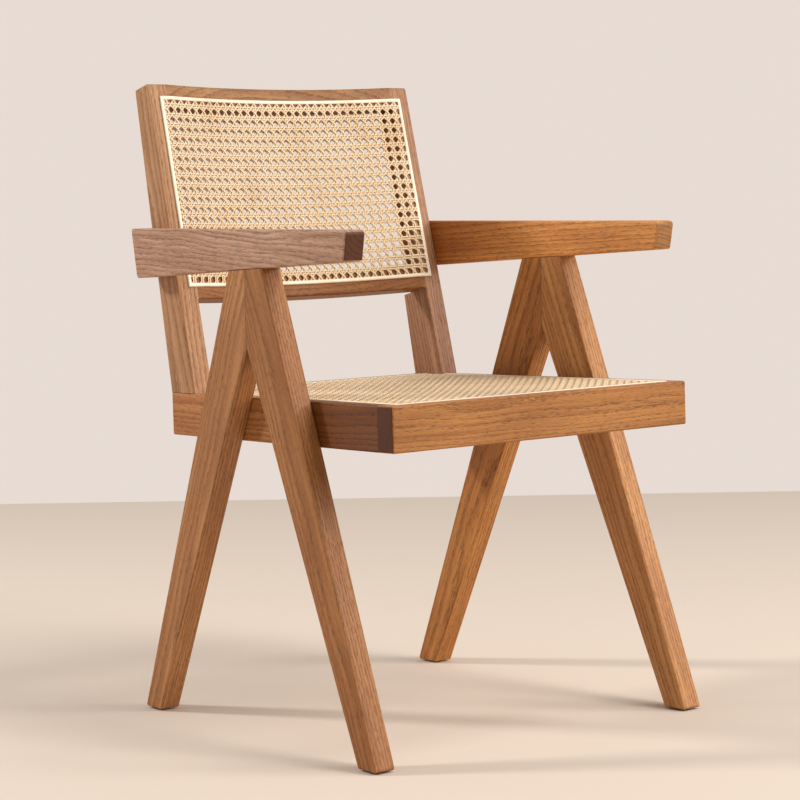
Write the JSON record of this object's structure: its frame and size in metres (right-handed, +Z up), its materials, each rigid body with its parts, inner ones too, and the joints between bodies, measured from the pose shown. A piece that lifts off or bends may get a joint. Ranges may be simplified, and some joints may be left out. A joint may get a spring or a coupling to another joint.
{
  "type": "cane armchair",
  "caption": "Low solid-teak armchair with A-shaped side frames under long arms, a sloping cane seat and a reclined, hollowed cane back",
  "frame": {"origin": "centre of the footprint's bounding box, on the floor", "axes": "+X to the sitter's left, -Y the way the sitter faces, +Z up"},
  "size_m": [0.5274, 0.5564, 0.7996],
  "materials": {
    "teak": "oiled",
    "block_wood": "raw",
    "cane": "natural",
    "spline_reed": "natural",
    "dowel_wood": "raw",
    "bolt_steel": "zinc plated",
    "insert_brass": "plain",
    "glide_plastic": "matte"
  },
  "bodies": {
    "root": {"arm_left": "teak", "arm_right": "teak", "front_leg_left": "teak", "front_leg_right": "teak", "rear_leg_left": "teak", "rear_leg_right": "teak", "seat_front_rail": "teak", "seat_rear_rail": "teak", "seat_side_rail_left": "teak", "seat_side_rail_right": "teak", "stile_left": "teak", "stile_right": "teak", "back_top_rail": "teak", "back_bottom_rail": "teak", "corner_block_front_left": "block_wood", "corner_block_front_right": "block_wood", "corner_block_rear_left": "block_wood", "corner_block_rear_right": "block_wood", "seat_cane": "cane", "back_cane_front": "cane", "back_cane_rear": "cane", "seat_spline": "spline_reed", "seat_spline_rear": "spline_reed", "back_spline_front": "spline_reed", "back_spline_rear": "spline_reed", "seam_dowels": "dowel_wood", "arm_dowels": "dowel_wood", "arm_stile_dowels": "dowel_wood", "stile_foot_dowels": "dowel_wood", "back_rail_dowels": "dowel_wood", "seat_frame_dowels": "dowel_wood", "leg_bolts": "bolt_steel", "leg_washers": "bolt_steel", "block_screws": "bolt_steel", "leg_inserts": "insert_brass", "foot_glides": "glide_plastic"}
  },
  "joints": []
}
